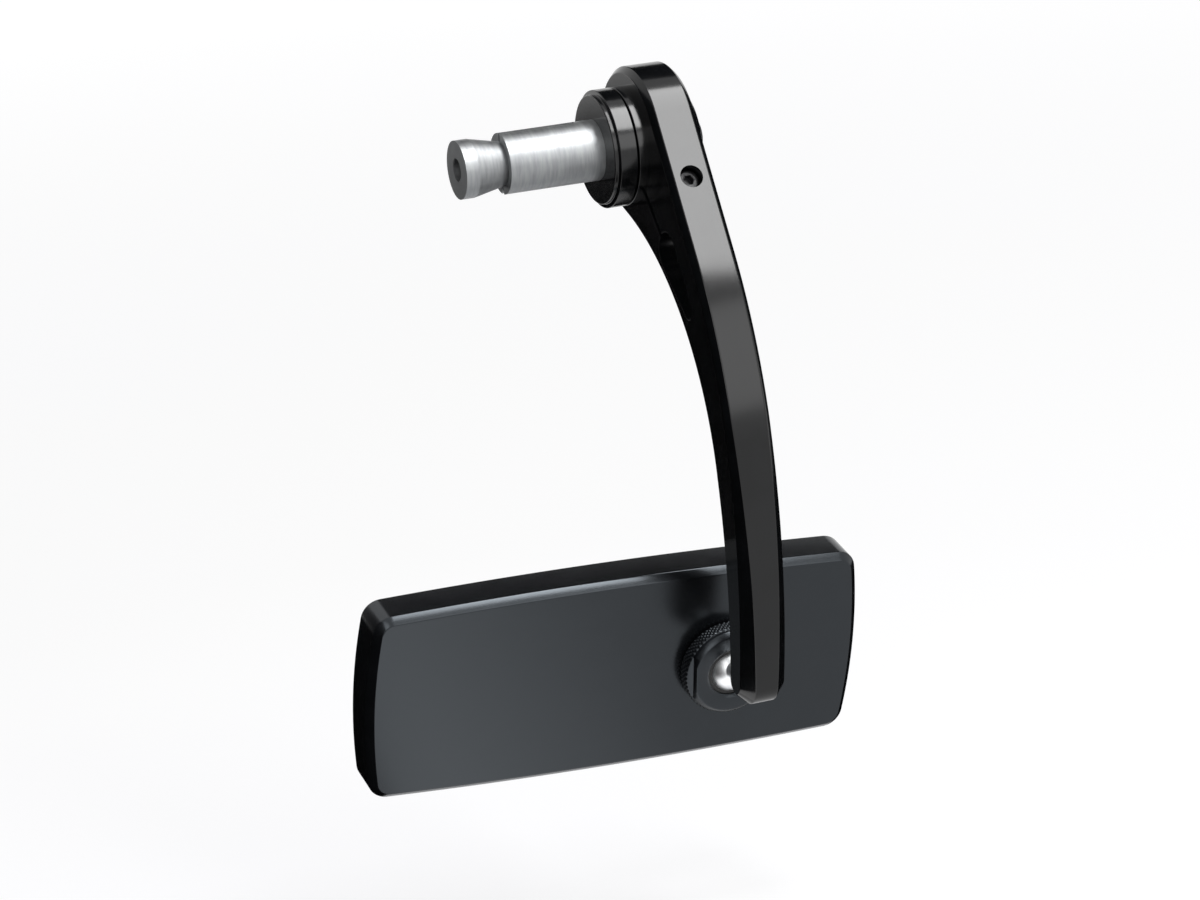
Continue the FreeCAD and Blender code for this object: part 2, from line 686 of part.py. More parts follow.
# outline with four bowed sides round a centre set off from the ball
def bowed(sketch, inset):
    half_l = s.head_long / 2 - inset - s.end_bulge
    half_h = s.head_high / 2 - inset - s.side_bulge
    turn = as_size(0) - s.head_roll
    corners = []
    for a, b in ((1, 1), (-1, 1), (-1, -1), (1, -1)):
        x = s.head_along + half_l * a
        y = s.head_up + half_h * b
        corners.append((x * cosine(turn) - y * sine(turn), x * sine(turn) + y * cosine(turn)))
    r_long = (half_l * half_l + s.side_bulge * s.side_bulge) / (2 * s.side_bulge)
    r_short = (half_h * half_h + s.end_bulge * s.end_bulge) / (2 * s.end_bulge)
    first = sketch.GeometryCount
    for i in range(4):
        a = corners[i]
        b = corners[(i + 1) % 4]
        r = r_long if i % 2 == 0 else r_short
        pa = Vector(a[0].number, a[1].number, 0)
        pb = Vector(b[0].number, b[1].number, 0)
        mid = (pa + pb) * 0.5
        run = pb - pa
        inward = Vector(-run.y, run.x, 0)
        inward.normalize()
        rise = math.sqrt(r.number ** 2 - (run.Length / 2) ** 2)
        centre = mid + inward * rise
        start = math.atan2(pa.y - centre.y, pa.x - centre.x)
        stop = math.atan2(pb.y - centre.y, pb.x - centre.x)
        if stop < start:
            stop = stop + 2 * half_turn
        sketch.addGeometry(arc((centre.x, centre.y), r.number, start, stop))
    for i in range(4):
        sketch.addConstraint(Sketcher.Constraint(
            "Coincident", first + i, 2, first + (i + 1) % 4, 1))
    for i in range(4):
        pin(sketch, "DistanceX", first + i, 1, corners[i][0])
        pin(sketch, "DistanceY", first + i, 1, corners[i][1])
        radius(sketch, first + i, r_long if i % 2 == 0 else r_short)


def upright_edges(shape, low, high):
    names = []
    for number, edge in enumerate(shape.Edges):
        box = edge.BoundBox
        if abs(box.ZMin - low) < 1e-6 and abs(box.ZMax - high) < 1e-6 and box.XLength < 1e-6:
            names.append("Edge%d" % (number + 1))
    return names


def level_edges(shape, z):
    names = []
    for number, edge in enumerate(shape.Edges):
        box = edge.BoundBox
        if abs(box.ZMin - z) < 1e-6 and abs(box.ZMax - z) < 1e-6:
            names.append("Edge%d" % (number + 1))
    return names


def slab(body, name, z_low, thick, inset, corner):
    line = new_sketch(body, name + "_line", flat, 0, 0, z_low)
    bowed(line, inset)
    block = padded(body, line, name + "_pad", thick)
    doc.recompute()
    z = as_size(z_low).number
    made = body.newObject("PartDesign::Fillet", name + "_corners")
    made.Base = (block, upright_edges(block.Shape, z, z + as_size(thick).number))
    bind(made, "Radius", corner)
    doc.recompute()
    return made


front_z = -s.back_drop - s.head_thick
ledge_z = front_z + s.glass_sink + s.glass_thick + s.pad_thick
housing = new_body("head_housing")
block = slab(housing, "housing", front_z, s.head_thick, as_size(0), s.corner_r)
back_edge = housing.newObject("PartDesign::Chamfer", "housing_back_edge")
back_edge.Base = (block, level_edges(block.Shape, -s.back_drop.number))
bind(back_edge, "Size", s.back_edge)
doc.recompute()

# recess for the glass, cavity behind it, hole for the socket boss
recess = new_sketch(housing, "recess_line", flat, 0, 0, ledge_z)
bowed(recess, s.rim_wall)
recess_cut = pocketed(housing, recess, "recess_cut", s.head_thick)
doc.recompute()
cavity = new_sketch(housing, "cavity_line", flat, 0, 0, floor_z)
bowed(cavity, s.rim_wall + s.ledge)
cavity_cut = pocketed(housing, cavity, "cavity_cut", s.head_thick)
doc.recompute()
inner = housing.newObject("PartDesign::Fillet", "housing_inner_corners")
inner_names = upright_edges(cavity_cut.Shape, front_z.number, ledge_z.number)
inner_names = inner_names + upright_edges(cavity_cut.Shape, ledge_z.number, floor_z.number)
inner.Base = (cavity_cut, inner_names)
bind(inner, "Radius", s.corner_r - s.rim_wall)
doc.recompute()
socket_line = new_sketch(housing, "socket_line", flat, 0, 0, floor_z)
circle(socket_line, 0, 0, s.boss_r)
pocketed(housing, socket_line, "socket_hole", s.back_wall, True)
thread_line = new_sketch(housing, "thread_line", flat, 0, 0, floor_z)
circle(thread_line, s.fix_circle, 0, s.fix_r)
thread_cut = pocketed(housing, thread_line, "thread_hole", s.back_wall - 0.8, True)
thread_ring = housing.newObject("PartDesign::PolarPattern", "thread_ring")
thread_ring.Originals = [thread_cut]
thread_ring.Axis = (thread_line, ["N_Axis"])
thread_ring.Angle = 360.0
bind(thread_ring, "Occurrences", s.fix_count)
housing.Tip = thread_ring
place(housing, arm_mid, head_y, head_z, head_turn)

# adhesive pad frame on the ledge, and the mirror glass on it
pad = new_body("glass_pad")
pad_block = slab(pad, "pad", ledge_z - s.pad_thick, s.pad_thick, s.rim_wall + s.glass_gap,
                 s.corner_r - s.rim_wall - s.glass_gap)
pad_line = new_sketch(pad, "pad_open_line", flat, 0, 0, ledge_z)
bowed(pad_line, s.rim_wall + s.ledge)
pocketed(pad, pad_line, "pad_open", s.pad_thick * 2)
place(pad, arm_mid, head_y, head_z, head_turn)
glass = new_body("mirror_glass")
slab(glass, "glass", front_z + s.glass_sink, s.glass_thick, s.rim_wall + s.glass_gap,
     s.corner_r - s.rim_wall - s.glass_gap)
place(glass, arm_mid, head_y, head_z, head_turn)

# screws that hold the socket base under the back wall
screws = new_body("socket_screws")
screw_top = floor_z + s.back_wall - 1.2
screw_line = new_sketch(screws, "screw_line", upright)
polygon(screw_line, [
    (s.fix_circle, base_low - 1.6), (s.fix_circle + s.fix_head_r, base_low - 1.6),
    (s.fix_circle + s.fix_head_r, base_low), (s.fix_circle + s.fix_r, base_low),
    (s.fix_circle + s.fix_r, screw_top), (s.fix_circle, screw_top)])
screw = screws.newObject("PartDesign::Revolution", "screw_turned")
screw.Profile = screw_line
screw.ReferenceAxis = (screw_line, ["Edge6"])
screw.Angle = 360.0
screws.AllowCompound = True
screw_ring = screws.newObject("PartDesign::PolarPattern", "screw_ring")
screw_ring.Originals = [screw]
screw_ring.Axis = (screw_line, ["V_Axis"])
screw_ring.Angle = 360.0
bind(screw_ring, "Occurrences", s.fix_count)
screws.Tip = screw_ring
place(screws, arm_mid, head_y, head_z, head_turn)
doc.recompute()

nodes = [collar, washer, bolt, sleeve, wedge, arm, pinch, stud, ring, cup, base, nut, housing,
         pad, glass, screws]
for obj in doc.Objects:
    if "Invalid" in obj.State or "Error" in obj.State:
        raise RuntimeError("not built: " + obj.Name)
os.makedirs("parts", exist_ok=True)
for node in nodes:
    if node.Shape.isNull() or not node.Shape.isValid():
        raise RuntimeError("bad shape: " + node.Label)
    print(node.Label, round(node.Shape.Volume, 1), len(node.Shape.Solids))
    node.Shape.exportStep("parts/" + node.Label + ".step")
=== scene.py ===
import math
import bmesh
import bpy
from mathutils import Matrix, Vector


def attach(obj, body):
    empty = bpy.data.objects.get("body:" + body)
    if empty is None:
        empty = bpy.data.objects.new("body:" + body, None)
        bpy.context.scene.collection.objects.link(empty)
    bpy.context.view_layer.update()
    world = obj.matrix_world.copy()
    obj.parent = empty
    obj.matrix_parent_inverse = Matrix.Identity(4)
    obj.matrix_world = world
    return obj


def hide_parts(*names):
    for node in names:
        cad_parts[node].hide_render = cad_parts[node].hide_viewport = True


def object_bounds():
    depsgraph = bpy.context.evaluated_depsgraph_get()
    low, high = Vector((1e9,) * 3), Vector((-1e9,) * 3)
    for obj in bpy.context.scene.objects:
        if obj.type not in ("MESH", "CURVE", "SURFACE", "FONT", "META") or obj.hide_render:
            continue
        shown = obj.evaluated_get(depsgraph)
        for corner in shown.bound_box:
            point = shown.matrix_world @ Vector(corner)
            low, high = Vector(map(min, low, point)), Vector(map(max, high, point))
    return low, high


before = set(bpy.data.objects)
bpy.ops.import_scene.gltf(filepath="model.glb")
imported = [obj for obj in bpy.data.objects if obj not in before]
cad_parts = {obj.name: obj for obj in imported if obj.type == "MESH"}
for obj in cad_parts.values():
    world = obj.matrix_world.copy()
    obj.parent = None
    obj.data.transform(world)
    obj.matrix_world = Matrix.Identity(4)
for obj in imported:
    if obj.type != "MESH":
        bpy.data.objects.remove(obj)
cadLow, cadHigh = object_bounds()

mm = 0.001  # sizes are in millimetres, the scene is in metres
halfPi, twoPi = math.pi / 2, 2 * math.pi
print("stage 1: frame loaded")

# collar that seats the part, with the spigot that the arm turns on
collar = {"len": 6.0, "r": 15.5, "stepLen": 1.2, "stepR": 14.3, "spigotR": 11.0, "holeR": 3.25,
          "sideGap": 0.35, "runningGap": 0.04}
arm = {"restAngle": 12.0, "thick": 12.6, "bossLen": 3.0, "bossIn": 0.4, "eyeR": 20.5, "frontLen": 39.6,
       "frontAngle": 20.4, "upperArc": 122.0, "lowerArc": 185.0, "rearArc": 72.0, "width": 12.5,
       "drop": 141.0, "edge": 1.5, "tipEdge": 3.2, "soft": 0.2, "cutPast": 5.0}
# the stud stands on the round tip and leans down, the head leans a little on its ball
stud = {"reach": 13.5, "lean": 18.5, "headLean": 1.75, "ballR": 6.0, "neckR": 2.6, "shankR": 3.0,
        "shankOut": 1.6, "inArm": 3.0, "soft": 0.15, "ballSteps": 40}


def heading(turn):
    return Vector((math.cos(turn), math.sin(turn)))


def turnOf(way):
    return math.atan2(way.y, way.x)


# where the arm, the ball and the head stand, worked out as the solids are
armIn = collar["len"] + collar["sideGap"] + arm["bossLen"]
armMid = armIn + arm["thick"] / 2
armOut = armIn + arm["thick"]
spigotEnd = armOut + collar["sideGap"]
boreR = collar["spigotR"] + collar["runningGap"]
frontTurn = math.radians(arm["frontAngle"])
downFront = Vector((-math.sin(frontTurn), -math.cos(frontTurn)))  # along the straight front edge
eyeFront = Vector((-math.cos(frontTurn), math.sin(frontTurn))) * arm["eyeR"]
lineEnd = eyeFront + downFront * arm["frontLen"]
upperCentre = lineEnd + Vector((math.cos(frontTurn), -math.sin(frontTurn))) * arm["upperArc"]
lowerCentre = upperCentre + Vector((arm["lowerArc"] - arm["upperArc"], 0))
midArc = arm["lowerArc"] - arm["width"] / 2
rearR = arm["lowerArc"] - arm["width"]
tipTurn = math.asin((arm["drop"] + lowerCentre.y) / midArc)
tipCentre = lowerCentre - heading(tipTurn) * midArc
studLean, headLean = math.radians(stud["lean"]), math.radians(stud["headLean"])
ballFlat = tipCentre + heading(tipTurn - studLean) * (arm["width"] / 2 + stud["reach"])
armTurn = Matrix.Rotation(-math.radians(arm["restAngle"]), 4, "X")
ballPlace = armTurn @ Vector((armMid, ballFlat.x, ballFlat.y))
headTurn = math.radians(90 - arm["restAngle"]) + tipTurn + headLean
headPlace = Matrix.Translation(ballPlace) @ Matrix.Rotation(headTurn, 4, "X")
studPlace = Matrix.Translation(ballPlace) @ Matrix.Rotation(headTurn - headLean - studLean, 4, "X")
barPlace = Matrix.Rotation(halfPi, 4, "Y")  # local Z along the axis that the collar sits on


def linear(hexColour):
    parts = [int(hexColour[i:i + 2], 16) / 255 for i in (1, 3, 5)]
    return [p / 12.92 if p <= 0.04045 else ((p + 0.055) / 1.055) ** 2.4 for p in parts] + [1.0]


# adds one node with its settings: a socket gets a value, or a link from a (node, output) pair
def addNode(tree, kind, sockets=None, **settings):
    node = tree.nodes.new(kind)
    for key, value in settings.items():
        setattr(node, key, value)
    for key, value in (sockets or {}).items():
        if isinstance(value, tuple) and isinstance(value[0], bpy.types.Node):
            tree.links.new(value[0].outputs[value[1]], node.inputs[key])
        else:
            node.inputs[key].default_value = value
    return node


def emptyMaterial(name):
    material = bpy.data.materials.new(name)
    material.use_nodes = True
    material.node_tree.nodes.clear()
    return material


# a finish whose tone, gloss and grain vary a little, at sizes given in millimetres
pattern = {"toneFrom": 0.3, "toneTo": 0.7, "toneDetail": 4.0, "grainDetail": 2.0, "grainHigh": 0.02}


def surface(name, dark, light, rough, metallic=0.0, ior=1.5, toneMm=6.0, grainMm=0.25, grain=0.15,
            stretch=(1, 1, 1), sheen="#ffffff"):
    material = emptyMaterial(name)
    tree = material.node_tree
    place = addNode(tree, "ShaderNodeTexCoord")
    along = addNode(tree, "ShaderNodeMapping", {"Vector": (place, "Object"), "Scale": stretch})
    tone = addNode(tree, "ShaderNodeTexNoise", {"Vector": (along, "Vector"), "Scale": 1 / (toneMm * mm),
                                                "Detail": pattern["toneDetail"]})
    ramp = addNode(tree, "ShaderNodeValToRGB", {"Fac": (tone, "Fac")})
    stops = ramp.color_ramp.elements
    stops[0].position, stops[1].position = pattern["toneFrom"], pattern["toneTo"]
    stops[0].color, stops[1].color = linear(dark), linear(light)
    fine = addNode(tree, "ShaderNodeTexNoise", {"Vector": (along, "Vector"), "Scale": 1 / (grainMm * mm),
                                                "Detail": pattern["grainDetail"]})
    gloss = addNode(tree, "ShaderNodeMapRange", {"Value": (tone, "Fac"), "To Min": rough[0],
                                                 "To Max": rough[1]})
    bump = addNode(tree, "ShaderNodeBump", {"Height": (fine, "Fac"), "Strength": grain,
                                            "Distance": pattern["grainHigh"] * mm})
    shader = addNode(tree, "ShaderNodeBsdfPrincipled", {
        "Base Color": (ramp, "Color"), "Roughness": (gloss, "Result"), "Normal": (bump, "Normal"),
        "Metallic": metallic, "IOR": ior, "Specular Tint": linear(sheen)})
    addNode(tree, "ShaderNodeOutputMaterial", {"Surface": (shader, "BSDF")})
    return material


lathe = (8, 1, 1)  # squeezes a pattern along X into the rings that turning leaves
# anodised aluminium, bead blasted and dyed black: deep black with a clear gloss on its flat faces
# a bead's dimple is near 0.05 mm, drawn at 0.25 mm so that it shows
anodised = surface("anodised_aluminium_black", "#08090a", "#0d0e10", (0.13, 0.18), ior=1.42)
# the same on the milled head: a cool grey gloss that blurs what stands before it
anodisedHead = surface("anodised_aluminium_head", "#0c0d0f", "#111214", (0.19, 0.24), ior=1.505,
                       sheen="#eaf5ff")
# the same over a knurl: softer, so that the points catch light from all sides
anodisedNut = surface("anodised_aluminium_nut", "#0c0d0f", "#141518", (0.28, 0.34), ior=1.5,
                      sheen="#eaf5ff")
# the same over turned rings, which draw highlights into bands
# a lathe's feed is near 0.1 mm, its tone is drawn near 0.75 mm so that it shows
anodisedTurned = surface("anodised_aluminium_turned", "#08090a", "#0d0e10", (0.14, 0.2), ior=1.45,
                         grainMm=0.3, stretch=lathe)
# chrome plate on a satin ground ball: bright, with soft reflections
chrome = surface("satin_chrome", "#e4e6e8", "#eeeff0", (0.38, 0.44), metallic=1.0, grain=0.04)
# aluminium left as turned: pale grey with faint rings, drawn as coarse as the ones above
turnedAluminium = surface("turned_aluminium", "#8e9092", "#a2a4a5", (0.4, 0.5), metallic=1.0, grainMm=0.3,
                          stretch=lathe)
# steel with zinc plated on from a bath: dull silver, a little blue
zincPlate = surface("zinc_plated_steel", "#a4a8ac", "#b4b8bb", (0.28, 0.38), metallic=1.0)
# steel blacked in a hot oxide bath: near black, with a dull metal shine
blackOxide = surface("black_oxide_steel", "#1b1b1c", "#262627", (0.3, 0.42), metallic=0.6)
# nylon from a polished mould: black with a wide, weak gloss
nylon = surface("black_nylon", "#101010", "#161616", (0.45, 0.55), grain=0.1)
# adhesive foam, blown and cut from sheet: matt, with open cells of about 0.4 mm
foam = surface("adhesive_foam", "#161616", "#202020", (0.8, 0.9), grainMm=0.4, grain=0.4)
# float glass silvered on its back: a clean mirror, faintly blue from the glass before the silver
silvered = surface("silvered_glass", "#d6dee2", "#dbe3e7", (0.01, 0.015), metallic=1.0, toneMm=80.0,
                   grain=0.0)
print("stage 2: materials made")

# how edges are softened, by the turn in degrees that counts as sharp and by shares of their sides
edges = {"sharpTurn": 55.0, "segments": 2, "nip": 0.7, "mostOfSide": 0.4, "flatWeight": 90}
fineRound, midRound, smallRound = 128, 96, 64  # steps round a circle


# an object from points in millimetres, its faces turned outwards
def loose(name, verts, faces, place):
    mesh = bpy.data.meshes.new(name)
    mesh.from_pydata([place @ Vector(v) * mm for v in verts], [], faces)
    shape = bmesh.new()
    shape.from_mesh(mesh)
    bmesh.ops.recalc_face_normals(shape, faces=shape.faces)
    shape.to_mesh(mesh)
    shape.free()
    made = bpy.data.objects.new(name, mesh)
    bpy.context.scene.collection.objects.link(made)
    return made


# gives an object its finish and ties it to its body
def settle(piece, material, body, nodes=()):
    piece.data.materials.clear()
    piece.data.materials.append(material)
    for polygon in piece.data.polygons:
        polygon.use_smooth = True
    weighted = piece.modifiers.new("flat_faces_stay_flat", "WEIGHTED_NORMAL")
    weighted.weight = edges["flatWeight"]
    weighted.keep_sharp = True
    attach(piece, body)
    if nodes:
        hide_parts(*nodes)


def addPiece(name, shape, material, body, nodes, place):
    settle(loose(name, *shape, place), material, body, nodes)


# cuts shapes out of a piece and softens the cut edges
def cutOut(piece, cutters, soft):
    for cutter in cutters:
        cut = piece.modifiers.new("cut", "BOOLEAN")
        cut.operation = "DIFFERENCE"
        cut.solver = "EXACT"
        cut.object = cutter
    bevel = piece.modifiers.new("soft_edges", "BEVEL")
    bevel.width = soft * mm
    bevel.segments = edges["segments"]
    bevel.limit_method = "ANGLE"
    bevel.angle_limit = math.radians(edges["sharpTurn"])
    bpy.context.view_layer.update()
    graph = bpy.context.evaluated_depsgraph_get()
    mesh = bpy.data.meshes.new_from_object(piece.evaluated_get(graph))
    piece.modifiers.clear()
    piece.data = mesh
    for cutter in cutters:
        bpy.data.objects.remove(cutter)


def arcPoints(centre, r, start, stop, steps):
    return [centre + heading(start + (stop - start) * k / steps) * r for k in range(steps + 1)]


def circle(r, steps):
    return arcPoints(Vector((0, 0)), r, 0, twoPi, steps)[:-1]


def hexagon(half):
    return circle(half / math.cos(math.pi / 6), 6)


# straight bar of a flat outline, from one height to another along local Z
def prismMesh(outline, low, high):
    count = len(outline)
    verts = [(x, y, z) for z in (low, high) for x, y in outline]
    faces = [list(range(count))[::-1], list(range(count, 2 * count))]
    faces += [[i, (i + 1) % count, count + (i + 1) % count, count + i] for i in range(count)]
    return verts, faces


# faces between closed rings of equal length, given as rows of vertex numbers
def bandFaces(rings):
    faces = []
    for a, b in zip(rings, rings[1:]):
        for k in range(len(a)):
            n = (k + 1) % len(a)
            face = list(dict.fromkeys([a[k], a[n], b[n], b[k]]))
            if len(face) > 2:
                faces.append(face)
    return faces


# rounds the corners of a turned profile of (height, radius) points
def softened(points, soft, closed):
    most = edges["mostOfSide"]
    made = []
    count = len(points)
    for i in range(count):
        here = Vector(points[i])
        if not closed and i in (0, count - 1):
            made.append(here)
            continue
        before = Vector(points[i - 1]) - here
        after = Vector(points[(i + 1) % count]) - here
        cut = min(soft, before.length * most, after.length * most)
        a = here + before.normalized() * cut
        b = here + after.normalized() * cut
        made += [a, (a + b) / 4 + here / 2, b]
    return made


# turns a profile round local Z, a point on the axis becoming one vertex
def turnedMesh(points, steps=fineRound, closed=True, soft=0.25):
    verts, rings = [], []
    for height, r in softened(points, soft, closed):
        start = len(verts)
        if r < 1e-6:
            rings.append([start] * steps)
            verts.append((0, 0, height))
        else:
            rings.append(list(range(start, start + steps)))
            turns = (twoPi * k / steps for k in range(steps))
            verts += [(r * math.cos(turn), r * math.sin(turn), height) for turn in turns]
    if closed:
        rings.append(rings[0])
    return verts, bandFaces(rings)


outlineSteps = {"eye": 110, "line": 16, "upper": 40, "lower": 60, "tip": 48, "rearLower": 50, "rear": 70}


# arm outline as (point, inward direction, bevel), anticlockwise from the eye's rear
def armOutline():
    eyeCentre = Vector((0, 0))
    # the rear arc touches the eye and the inner edge of the lower arc
    toEye = arm["rearArc"] + arm["eyeR"]
    toLower = rearR - arm["rearArc"]
    along = (toEye ** 2 - toLower ** 2 + lowerCentre.length_squared) / (2 * lowerCentre.length)
    aside = math.sqrt(toEye ** 2 - along ** 2)
    unit = lowerCentre.normalized()
    rearCentre = unit * along + Vector((unit.y, -unit.x)) * aside
    rearTurn = turnOf(rearCentre)
    joinTurn = turnOf(rearCentre - lowerCentre) % twoPi
    tip = math.pi + tipTurn
    straight = math.pi - frontTurn
    rows = []

    # the bevel grows with the drop below a level, from the plain edge to the tip's
    def bevelBelow(level, turn):
        share = max(0, math.sin(turn - math.pi) - level) / (math.sin(tipTurn) - level)
        return arm["edge"] + (arm["tipEdge"] - arm["edge"]) * share

    def addArc(name, centre, r, start, stop, side=1, bevel=arm["edge"], level=None):
        for p in arcPoints(centre, r, start, stop, outlineSteps[name])[:-1]:
            turn = turnOf(p - centre) % twoPi
            width = bevel if level is None else bevelBelow(level, turn)
            rows.append((p, (centre - p).normalized() * side, width))

    addArc("eye", eyeCentre, arm["eyeR"], rearTurn, straight)
    for k in range(outlineSteps["line"]):
        rows.append((eyeFront.lerp(lineEnd, k / outlineSteps["line"]), -eyeFront.normalized(), arm["edge"]))
    addArc("upper", upperCentre, arm["upperArc"], straight, math.pi)
    addArc("lower", lowerCentre, arm["lowerArc"], math.pi, tip, level=0)
    addArc("tip", tipCentre, arm["width"] / 2, tip, tip + math.pi, bevel=arm["tipEdge"])
    addArc("rearLower", lowerCentre, rearR, tip, joinTurn, -1, level=math.sin(joinTurn - math.pi))
    addArc("rear", rearCentre, arm["rearArc"], joinTurn, rearTurn + math.pi, -1)
    return rows


# the blade with a bevel along both edges, each corner of the bevel cut once
def bladeMesh():
    half, soft = arm["thick"] / 2, arm["soft"]
    nip = edges["nip"] * soft
    rows = armOutline()
    verts, faces = [], []
    for point, inward, bevel in rows:
        section = [(-half, bevel + soft), (-half + nip, bevel - nip), (-half + bevel - nip, nip),
                   (-half + bevel + soft, 0.0)]
        section += [(-x, inset) for x, inset in reversed(section)]
        for x, inset in section:
            p = point + inward * inset
            verts.append((armMid + x, p.x, p.y))
    count, wide = len(rows), len(verts) // len(rows)
    for i in range(count):
        a, b = i * wide, (i + 1) % count * wide
        faces += [[a + k, b + k, b + k + 1, a + k + 1] for k in range(wide - 1)]
    faces += [[i * wide for i in range(count)], [i * wide + wide - 1 for i in range(count)]]
    return verts, faces


# tapered window under the eye, joined to the bore by the pinch slit
window = {"down": 29.0, "fwd": 17.0, "r": 5.6, "run": 17.0, "tipR": 2.8, "slit": 1.6, "slitFrom": 8.8,
          "topSteps": 32, "lowSteps": 24}


def windowOutlines():
    top = Vector((-window["fwd"], -window["down"]))
    way = top.normalized()
    low = top + way * window["run"]
    lean = turnOf(way)
    taper = math.asin((window["r"] - window["tipR"]) / window["run"])
    turn = halfPi - taper
    drop = arcPoints(top, window["r"], lean + turn, lean + twoPi - turn, window["topSteps"])
    drop += arcPoints(low, window["tipR"], lean - turn, lean + turn, window["lowSteps"])
    aside = Vector((-way.y, way.x)) * window["slit"] / 2
    near = way * window["slitFrom"]
    return drop, [near - aside, top - aside, top + aside, near + aside]


# pinch screw, sunk in the front edge across the slit
pinch = {"down": 18.5, "holeR": 3.0, "holeDeep": 5.6, "headR": 2.75, "headLen": 3.0, "sink": 2.6,
         "shankR": 1.5, "shankLen": 6.0, "hexHalf": 1.25, "hexDeep": 2.0, "hexPast": 1.0, "soft": 0.1}


def makePinchScrew(place):
    top = -pinch["sink"]
    under = top - pinch["headLen"]
    end = under - pinch["shankLen"]
    line = [(end, 0), (end, pinch["shankR"]), (under, pinch["shankR"]), (under, pinch["headR"]),
            (top, pinch["headR"]), (top, 0)]
    screw = loose("pinch_screw_head", *turnedMesh(line, smallRound, False), place)
    key = prismMesh(hexagon(pinch["hexHalf"]), top - pinch["hexDeep"], pinch["hexPast"])
    cutOut(screw, [loose("cut_hex", *key, place)], pinch["soft"])
    settle(screw, blackOxide, "arm", ["pinch_screw"])


# the bevelled blade with its bore, window, slit and screw hole, and the boss on its inner face
def makeArm():
    blade = loose("arm_blade", *bladeMesh(), armTurn)
    # takes a flat outline to the arm's plane
    toArm = armTurn @ Matrix.Rotation(twoPi / 3, 4, Vector((1, 1, 1)))
    past = arm["cutPast"]
    drop, slit = windowOutlines()
    cuts = {"bore": circle(boreR, fineRound), "window": drop, "slit": slit}
    cutters = [loose("cut_" + label, *prismMesh(flat, armIn - past, armOut + past), toArm)
               for label, flat in cuts.items()]
    spot = eyeFront + downFront * pinch["down"]
    toSpot = Matrix.Translation((armMid, spot.x, spot.y))
    intoFront = armTurn @ toSpot @ Matrix.Rotation(halfPi - frontTurn, 4, "X")
    hole = prismMesh(circle(pinch["holeR"], smallRound), -pinch["holeDeep"], past)
    cutters.append(loose("cut_pinch", *hole, intoFront))
    cutOut(blade, cutters, arm["soft"])
    settle(blade, anodised, "arm", ["arm"])
    low, high = armIn - arm["bossLen"], armIn + arm["bossIn"]
    boss = [(low, boreR), (low, collar["r"]), (high, collar["r"]), (high, boreR)]
    addPiece("arm_boss", turnedMesh(boss), anodisedTurned, "arm", (), armTurn @ barPlace)
    makePinchScrew(intoFront)


makeArm()
print("stage 3: arm made")


# chromed ball on its neck, the shank going into the arm's tip
def makeStud():
    ballR, steps = stud["ballR"], stud["ballSteps"]
    join = math.acos(stud["neckR"] / ballR)
    turns = [-halfPi + (halfPi + join) * k / steps for k in range(1, steps + 1)]
    line = [(-ballR, 0)] + [(math.sin(t) * ballR, math.cos(t) * ballR) for t in turns]
    shank, end = stud["reach"] - stud["shankOut"], stud["reach"] + stud["inArm"]
    line += [(shank, stud["neckR"]), (shank, stud["shankR"]), (end, stud["shankR"]), (end, 0)]
    shape = turnedMesh(line, midRound, False, stud["soft"])
    addPiece("ball_and_neck", shape, chrome, "arm", ["ball_stud"], studPlace)


makeStud()

# knurled nut: diamond points round its rim, two spanner flats above, a dished mouth
nut = {"r": 12.8, "low": -2.65, "rimTop": 1.3, "top": 3.4, "flat": 10.4, "edge": 1.2, "lip": 2.6,
       "innerR": 9.24, "seatR": 7.04, "seatLow": 0.2, "deep": 0.42, "count": 60, "perKnurl": 8,
       "knurlRows": 24, "seatRows": 8, "bodyGap": 0.05, "rimSoft": 0.12, "footSoft": 0.2, "topSoft": 0.25,
       "mouthSoft": 0.1}


# each row: radius, height, knurled or not, and where the spanner flats cut it
def nutRows():
    low, rimTop, top, lip, edge, flat = (nut[k] for k in ("low", "rimTop", "top", "lip", "edge", "flat"))
    rim, foot, brow, mouthSoft = (nut[k] for k in ("rimSoft", "footSoft", "topSoft", "mouthSoft"))
    half = edge / 2
    ring = nut["r"] - half
    body = ring - nut["bodyGap"]
    mouth = math.sqrt(nut["seatR"] ** 2 - lip ** 2)
    dish = mouth + top - lip
    rows = [(nut["innerR"], low, False, None), (ring, low, False, None)]
    for k in range(nut["knurlRows"] + 1):
        height = low + half + (rimTop - low - 2 * half) * k / nut["knurlRows"]
        rows.append((nut["r"], height, True, None))
    rows += [(ring, rimTop - rim / 2, False, None), (ring - rim, rimTop, False, None)]
    rows += [(body, rimTop + foot * 0.1, False, flat + foot * 0.75), (body, rimTop + foot, False, flat)]
    # the chamfer between the flats and the top, its two corners eased
    rows += [(body, top - edge - brow * 0.6, False, flat),
             (body - brow * 0.4, top - edge + brow * 0.4, False, flat),
             (body - edge + brow * 0.48, top - brow * 0.56, False, flat),
             (body - edge - brow * 0.2, top - brow * 0.08, False, flat - brow * 0.2),
             (body - edge - brow, top, False, flat - brow)]
    rows += [(dish + mouthSoft * 1.5, top, False, None),
             (dish - mouthSoft, top - mouthSoft * 0.8, False, None),
             (mouth + mouthSoft * 0.8, lip + mouthSoft, False, None), (mouth, lip, False, None)]
    for k in range(1, nut["seatRows"] + 1):  # round seat on the ball
        height = lip + (nut["seatLow"] - lip) * k / nut["seatRows"]
        rows.append((math.sqrt(nut["seatR"] ** 2 - height ** 2), height, False, None))
    return rows + [(nut["innerR"], nut["seatLow"], False, None)]


def wave(value):
    return abs((value % 1.0) * 2 - 1)


